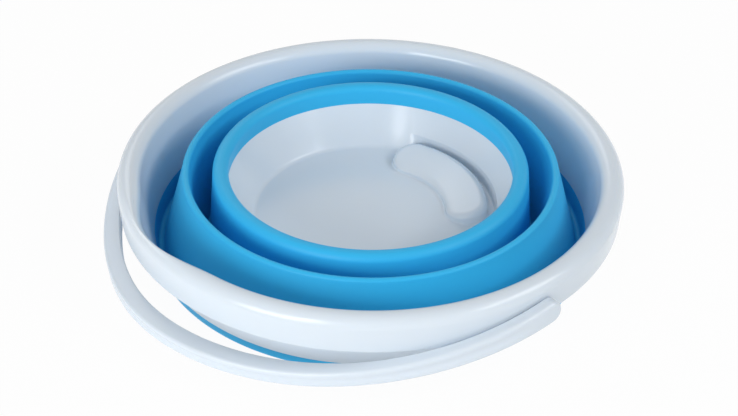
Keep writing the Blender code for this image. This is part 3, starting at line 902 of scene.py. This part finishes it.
def grip_shape(name, half_width, foot, drop, flare, material):
    """A kidney-shaped block with a rounded, sloping top. A flare blends its foot into the floor."""
    loops = [kidney(half_width + flare, foot)]
    if flare:
        flare_steps = 8
        spread = arc((half_width + flare, FLOOR_HEIGHT + flare), flare, -90, -180, flare_steps)
        loops += [kidney(width, height - GRIP_SINK) for width, height in spread]
    rounding = GRIP_ROUND * half_width / (GRIP_WIDTH / 2)
    round_steps = 14
    inner_steps = 6
    rings = []
    for step in range(round_steps + 1):
        turn = math.pi / 2 * step / round_steps
        rings.append((half_width - rounding * (1 - math.cos(turn)), (1 + math.sin(turn)) / 2))
    for step in range(1, inner_steps + 1):
        share = step / inner_steps
        rings.append(((half_width - rounding) * (1 - share) + GRIP_TOP, 1))
    for width, share in rings:
        loop = kidney(width, FLOOR_HEIGHT - drop)
        loops.append([point + Vector((0, 0, grip_rise(point) * share)) for point in loop])
    return lofted(name, loops, material)


def make_base(material):
    """The dish, its foot ring, finger grip and ribs."""
    wall_slope = (DISH_TOP - DISH_FOOT + FOOT_TUCK) / (BASE_SEAM_HEIGHT - FLOOR_HEIGHT)
    foot = DISH_TOP - (BASE_SEAM_HEIGHT - FLOOR_HEIGHT) * wall_slope
    ledge = DISH_TOP - (BASE_SEAM_HEIGHT - CHANNEL_TOP) * wall_slope
    whole = dish_outline((foot, DISH_ROUND), (ledge, CHANNEL_TOP, LEDGE_ROUND), DISH_FOOT)
    channel_wall = dish_wall(CHANNEL_TOP) - CHANNEL_DRAFT
    channel_ledge = (dish_wall(CHANNEL_TOP), CHANNEL_TOP, LEDGE_ROUND)
    channel = dish_outline((channel_wall, CHANNEL_ROUND), channel_ledge, channel_wall)
    dish = turned("base_cup", whole, material, closed=False, second=channel, share_at=channel_share)
    half = GRIP_WIDTH / 2
    under = FLOOR_UNDERSIDE - FLOOR_WALL
    grip = grip_shape("finger_grip", half, FLOOR_HEIGHT - FLOOR_WALL / 2, 0, GRIP_FLARE, material)
    pocket = grip_shape("finger_pocket", half - GRIP_WALL, under, GRIP_WALL, 0, material)
    combine(dish, [grip], "UNION")
    combine(dish, [pocket], "DIFFERENCE")
    combine(dish, make_ribs(material), "UNION")
    return dish


def make_ribs(material):
    """Radial ribs that meet in a boss, and a ring rib that keeps them clear of the finger grip."""
    ring = GRIP_RADIUS - GRIP_WIDTH / 2 - RIB_RING_SET_IN
    root = FLOOR_UNDERSIDE + FLOOR_WALL / 2
    foot = FLOOR_UNDERSIDE - RIB_DEPTH
    edge = RIB_WALL / 4
    edge_steps = 3
    ring_outline = rounded(
        [
            (ring - RIB_WALL / 2, foot, edge),
            (ring + RIB_WALL / 2, foot, edge),
            (ring + RIB_WALL / 2, root, 0),
            (ring - RIB_WALL / 2, root, 0),
        ],
        edge_steps,
    )
    boss_corners = [(0, root, 0), (BOSS_RADIUS, root, 0), (BOSS_RADIUS, 0, edge), (0, 0, 0)]
    boss_outline = rounded(boss_corners, edge_steps)
    tools = [
        turned("rib_ring", ring_outline, material),
        turned("rib_boss", boss_outline, material, closed=False),
    ]
    grip_half = GRIP_LENGTH / 2 / GRIP_RADIUS
    for number in range(RIB_COUNT):
        turn = GRIP_ANGLE + math.tau * (number + 0.5) / RIB_COUNT
        past_grip = from_middle(turn, GRIP_ANGLE) > grip_half + RIB_WALL / GRIP_RADIUS
        end = FOOT_RADIUS - FOOT_WALL / 2 if past_grip else ring
        section = rounded(
            [
                (-RIB_WALL / 2, foot, edge),
                (RIB_WALL / 2, foot, edge),
                (RIB_WALL / 2, root, 0),
                (-RIB_WALL / 2, root, 0),
            ],
            edge_steps,
        )
        turning = Matrix.Rotation(turn, 3, "Z")
        loops = [[turning @ Vector((x, y, z)) for y, z in section] for x in (BOSS_RADIUS / 2, end)]
        tools.append(lofted(f"rib_{number}", loops, material))
    return tools


def face_drop(distance, rounding):
    """How far the handle's face lies back where its edge is rounded, at a distance from its middle."""
    past = distance - (HANDLE_WIDTH / 2 - rounding)
    if past <= 0:
        return 0
    return rounding - math.sqrt(max(rounding * rounding - past * past, 0))


def face_places(rounding, steps, round_steps):
    """Distances across the handle's face, from its upper edge to its lower one, close at the rounds."""
    flat = HANDLE_WIDTH / 2 - rounding
    edge = [flat + rounding * math.cos(math.pi / 2 * step / round_steps) for step in range(round_steps)]
    middle = [flat * (1 - 2 * step / steps) for step in range(steps + 1)]
    return edge + middle + [-place for place in reversed(edge)]


def handle_section(width, thickness, relief, past_pivot=0):
    """The bail's section as (outwards, across) points: softly grooved outside and hollow inside."""
    front = thickness / 2
    scale = width / HANDLE_WIDTH
    reach = HANDLE_WIDTH / 2 - HANDLE_EDGE
    face_steps = 16
    outer_round_steps = 7
    inner_round_steps = 4
    points = []
    for place in face_places(HANDLE_ROUND, face_steps, outer_round_steps):
        distance = math.hypot(place * scale, past_pivot) if past_pivot else abs(place)
        dip = (1 + math.cos(math.pi * place / reach)) / 2 if abs(place) < reach else 0
        points.append((front - HANDLE_GROOVE * relief * dip - face_drop(distance, HANDLE_ROUND), place))
    for place in reversed(face_places(HANDLE_INNER_ROUND, face_steps, inner_round_steps)):
        distance = math.hypot(place * scale, past_pivot) if past_pivot else abs(place)
        rise = smooth_share((reach - abs(place)) / HANDLE_HOLLOW)
        out = HANDLE_HOLLOW * relief * rise + face_drop(distance, HANDLE_INNER_ROUND) - front
        points.append((out, place))
    return [(out, across * scale) for out, across in points]


def handle_end(side):
    """Sections of one round end, from the pivot outwards to its tip."""
    stations = []
    steps = 18
    for step in range(1, steps + 1):
        turn = HANDLE_END_TURN * step / steps
        past_pivot = HANDLE_WIDTH / 2 * math.sin(turn)
        section = handle_section(HANDLE_WIDTH * math.cos(turn), HANDLE_THICKNESS, 0, past_pivot)
        stations.append((Vector((side * HANDLE_LINE, past_pivot, 0)), Vector((side, 0, 0)), section))
    return stations


def shoulder_share(angle):
    """How much of a shoulder of the bail a place is, from 0 to 1.

    Each shoulder is fullest where the square of the sine is two thirds, and the last factor makes it 1.
    """
    return math.sin(angle) ** 4 * math.cos(angle) ** 2 * 27 / 4


def handle_stations():
    """Where the bail's sections stand: place, outward direction and section.

    The groove and the hollow start one pad's length in front of the pivots and are full at three.
    """
    bow = []
    steps = bpy.context.scene.bucket_sizes.handle_facets
    for step in range(steps + 1):
        angle = math.pi * step / steps
        shoulder = shoulder_share(angle)
        pinch = HANDLE_PINCH * shoulder
        across = (HANDLE_LINE - pinch) * math.cos(angle)
        forwards = (HANDLE_REACH - pinch) * math.sin(angle)
        place = Vector((across, -forwards, -HANDLE_SAG * shoulder))
        out = Vector((HANDLE_REACH * math.cos(angle), -HANDLE_LINE * math.sin(angle), 0)).normalized()
        middle = smooth_share(math.sin(angle))
        width = HANDLE_WIDTH + (HANDLE_MIDDLE_WIDTH - HANDLE_WIDTH) * middle
        thickness = HANDLE_THICKNESS + (HANDLE_MIDDLE_THICKNESS - HANDLE_THICKNESS) * middle**3
        relief = smooth_share(-place.y / HANDLE_PAD / 2 - 0.5)
        bow.append((place, out, handle_section(width, thickness, relief)))
    return handle_end(1)[::-1] + bow + handle_end(-1)


def make_handle(material):
    """The bail, swept from one round end to the other, and its pegs."""
    loops = []
    for place, out, section in handle_stations():
        loops.append([place + out * away + Vector((0, 0, across)) for away, across in section])
    handle = lofted("bail_handle", loops, material)
    head_face = RIM_RADIUS - LIP_WALL - LIP_DRAFT - SOCKET_DEPTH - SEAM
    pegs = []
    for side, word in ((1, "right"), (-1, "left")):
        peg = rod(
            "handle_peg_" + word,
            (PEG_RADIUS - PEG_GAP, PEG_RADIUS + PEG_HEAD, PEG_RADIUS + PEG_HEAD, PEG_RADIUS, PEG_RADIUS),
            (
                head_face - PEG_HEAD_LENGTH,
                head_face - PEG_HEAD,
                head_face,
                head_face,
                HANDLE_LINE,
            ),
        )
        if side < 0:
            peg.rotation_euler = (0, 0, math.pi)
        pegs.append(peg)
    combine(handle, pegs, "UNION")
    handle.location = (0, 0, PIVOT_HEIGHT)
    handle.rotation_euler = (HANDLE_TILT, 0, 0)
    return handle


def make_camera():
    """The photograph's camera."""
    data = bpy.data.cameras.new("photo_camera")
    data.sensor_width = SENSOR_WIDTH
    data.lens = LENS_PIXELS * SENSOR_WIDTH / PHOTO_WIDTH
    data.shift_x = VIEW_OFFSET[0] / PHOTO_WIDTH
    data.shift_y = VIEW_OFFSET[1] / PHOTO_WIDTH
    camera = bpy.data.objects.new("photo_camera", data)
    bpy.context.scene.collection.objects.link(camera)
    away = Vector(
        (
            math.cos(VIEW_RISE) * math.cos(VIEW_TURN),
            math.cos(VIEW_RISE) * math.sin(VIEW_TURN),
            math.sin(VIEW_RISE),
        )
    )
    turn = away.to_track_quat("Z", "Y").to_matrix() @ Matrix.Rotation(VIEW_ROLL, 3, "Z")
    camera.matrix_world = Matrix.Translation(VIEW_AIM + away * VIEW_DISTANCE) @ turn.to_4x4()
    bpy.context.scene.camera = camera


def softbox(name, turn, rise, size, power):
    """A lamp aimed at the bucket, in a direction given in degrees round it and above the floor."""
    data = bpy.data.lights.new(name, "AREA")
    data.shape = "RECTANGLE"
    data.size = size[0]
    data.size_y = size[1]
    data.energy = power
    lamp = bpy.data.objects.new(name, data)
    bpy.context.scene.collection.objects.link(lamp)
    turn = math.radians(turn)
    rise = math.radians(rise)
    away = Vector((math.cos(rise) * math.cos(turn), math.cos(rise) * math.sin(turn), math.sin(rise)))
    facing = away.to_track_quat("Z", "Y").to_matrix().to_4x4()
    lamp.matrix_world = Matrix.Translation(VIEW_AIM + away * LAMP_DISTANCE) @ facing


def backdrop_share(sheet):
    """1 for what the lens sees, also in a gloss or through something clear, and 0 for other light."""
    kinds = []
    for kind in ("Is Camera Ray", "Is Glossy Ray", "Is Transmission Ray"):
        kinds.append(sheet.node("ShaderNodeLightPath", {}, {}, kind))
    return sheet.node("ShaderNodeClamp", {}, {0: kinds[0] + kinds[1] + kinds[2]})


def light_world(strength):
    """A plain world, white where it is seen."""
    finish = bpy.context.scene.bucket_finish
    world = bpy.data.worlds.new("studio")
    bpy.context.scene.world = world
    world.use_nodes = True
    sheet = Sheet(world.node_tree)
    seen = backdrop_share(sheet)
    level = seen * (1 - strength) + strength
    sockets = {"Color": shaded(finish.backdrop, 1), "Strength": level}
    glow = sheet.node("ShaderNodeBackground", {}, sockets)
    sheet.node("ShaderNodeOutputWorld", {}, {"Surface": glow})


def make_floor():
    """A pale floor that is nearly all white to the lens and keeps a faint shadow."""
    finish = bpy.context.scene.bucket_finish
    half = bpy.context.scene.bucket_sizes.floor_size / 2
    mesh = bmesh.new()
    bmesh.ops.create_grid(mesh, x_segments=1, y_segments=1, size=half)
    material, sheet = new_material("pale_floor")
    diffuse = sheet.node("ShaderNodeBsdfDiffuse", {}, {"Color": shaded(finish.backdrop, FLOOR_SHADE)})
    glow = sheet.node("ShaderNodeEmission", {}, {"Color": shaded(finish.backdrop, 1), "Strength": 1})
    share = backdrop_share(sheet) * FLOOR_SEEN_GLOW + FLOOR_GLOW
    surface = sheet.node("ShaderNodeMixShader", {}, {0: share, 1: diffuse, 2: glow})
    sheet.node("ShaderNodeOutputMaterial", {}, {"Surface": surface})
    floor = place_piece("pale_floor", mesh, material)
    floor.location = (0, 0, -FLOOR_GAP)


class BUCKET_OT_stage(bpy.types.Operator):
    """Set the camera, the soft lamps, the world and the pale floor"""

    bl_idname = "bucket.stage"
    bl_label = "Stage"

    def execute(self, context):
        context.scene.view_settings.view_transform = "Standard"
        make_camera()
        light_world(WORLD_STRENGTH)
        for lamp in LAMPS:
            softbox(*lamp)
        make_floor()
        return {"FINISHED"}


class BUCKET_OT_base(bpy.types.Operator):
    """Make the white base: dish, foot ring, finger grip and ribs"""

    bl_idname = "bucket.base"
    bl_label = "Base"

    def execute(self, context):
        base = make_base(ready_material("white_polypropylene", white_plastic))
        finish_piece(base, "white_plastic", "base", "base_dish")
        return {"FINISHED"}


class BUCKET_OT_bellows(bpy.types.Operator):
    """Make the blue bellows: cuff, outer web, band, inner web and collar"""

    bl_idname = "bucket.bellows"
    bl_label = "Bellows"

    def execute(self, context):
        material = ready_material("soft_blue_elastomer", blue_elastomer)
        outer_crest = (OUTER_CREST, OUTER_CREST_HEIGHT - OUTER_CREST_HALF)
        collar_crest = (COLLAR_CREST, COLLAR_HEIGHT - COLLAR_OUTER_ROUND)
        outer_bend = (OUTER_BEND_CENTRE, BEND_HEIGHT)
        inner_bend = (INNER_BEND_CENTRE, BEND_HEIGHT)
        slot = "blue_elastomer"
        finish_piece(make_cuff(material), slot, "rim", "rim_cuff")
        finish_piece(make_collar(material), slot, "base", "base_collar")
        band = leaf(
            "bellows_band", outer_crest, OUTER_CREST_HALF, inner_bend, INNER_BEND, BAND, -1, material
        )
        finish_piece(band, slot, "middle", "middle_band")
        outer = leaf(
            "bellows_outer_web", outer_crest, OUTER_CREST_HALF, outer_bend, OUTER_BEND, WEB, 1, material
        )
        round_size = COLLAR_OUTER_ROUND
        inner = leaf(
            "bellows_inner_web", collar_crest, round_size, inner_bend, INNER_BEND, WEB, 1, material
        )
        for web, node, moving, held, top in (
            (outer, "outer_fold_web", "rim", "middle", OUTER_CREST_HEIGHT),
            (inner, "inner_fold_web", "middle", "base", COLLAR_HEIGHT),
        ):
            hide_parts(node)
            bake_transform(web)
        return {"FINISHED"}


class BUCKET_OT_rim(bpy.types.Operator):
    """Make the white rim: lip, flange, wall, spout and the handle's sockets"""

    bl_idname = "bucket.rim"
    bl_label = "Rim"

    def execute(self, context):
        rim = make_rim(ready_material("white_polypropylene", white_plastic))
        finish_piece(rim, "white_plastic", "rim", "rim")
        return {"FINISHED"}


class BUCKET_OT_handle(bpy.types.Operator):
    """Make the white bail handle and its pegs"""

    bl_idname = "bucket.handle"
    bl_label = "Handle"

    def execute(self, context):
        handle = make_handle(ready_material("white_polypropylene", white_plastic))
        finish_piece(handle, "white_plastic", "handle", "handle")
        return {"FINISHED"}


class BUCKET_PT_looks(bpy.types.Panel):
    """The bucket's sizes, colours and pieces"""

    bl_idname = "BUCKET_PT_looks"
    bl_label = "Collapsible Bucket"
    bl_space_type = "VIEW_3D"
    bl_region_type = "UI"
    bl_category = "Bucket"

    def draw(self, context):
        layout = self.layout
        for group in (context.scene.bucket_sizes, context.scene.bucket_finish):
            box = layout.box()
            for name in group.__annotations__:
                box.prop(group, name)
        for operator in OPERATORS:
            layout.operator(operator.bl_idname)


GROUPS = (BucketSizes, BucketFinish)
OPERATORS = (BUCKET_OT_stage, BUCKET_OT_base, BUCKET_OT_bellows, BUCKET_OT_rim, BUCKET_OT_handle)


def register():
    for item in (*GROUPS, *OPERATORS, BUCKET_PT_looks):
        bpy.utils.register_class(item)
    bpy.types.Scene.bucket_sizes = PointerProperty(type=BucketSizes)
    bpy.types.Scene.bucket_finish = PointerProperty(type=BucketFinish)


def unregister():
    del bpy.types.Scene.bucket_finish
    del bpy.types.Scene.bucket_sizes
    for item in reversed((*GROUPS, *OPERATORS, BUCKET_PT_looks)):
        bpy.utils.unregister_class(item)


def main():
    register()
    bpy.ops.bucket.stage()
    bpy.ops.bucket.base()
    bpy.ops.bucket.bellows()
    bpy.ops.bucket.rim()
    bpy.ops.bucket.handle()


if __name__ == "__main__":
    main()
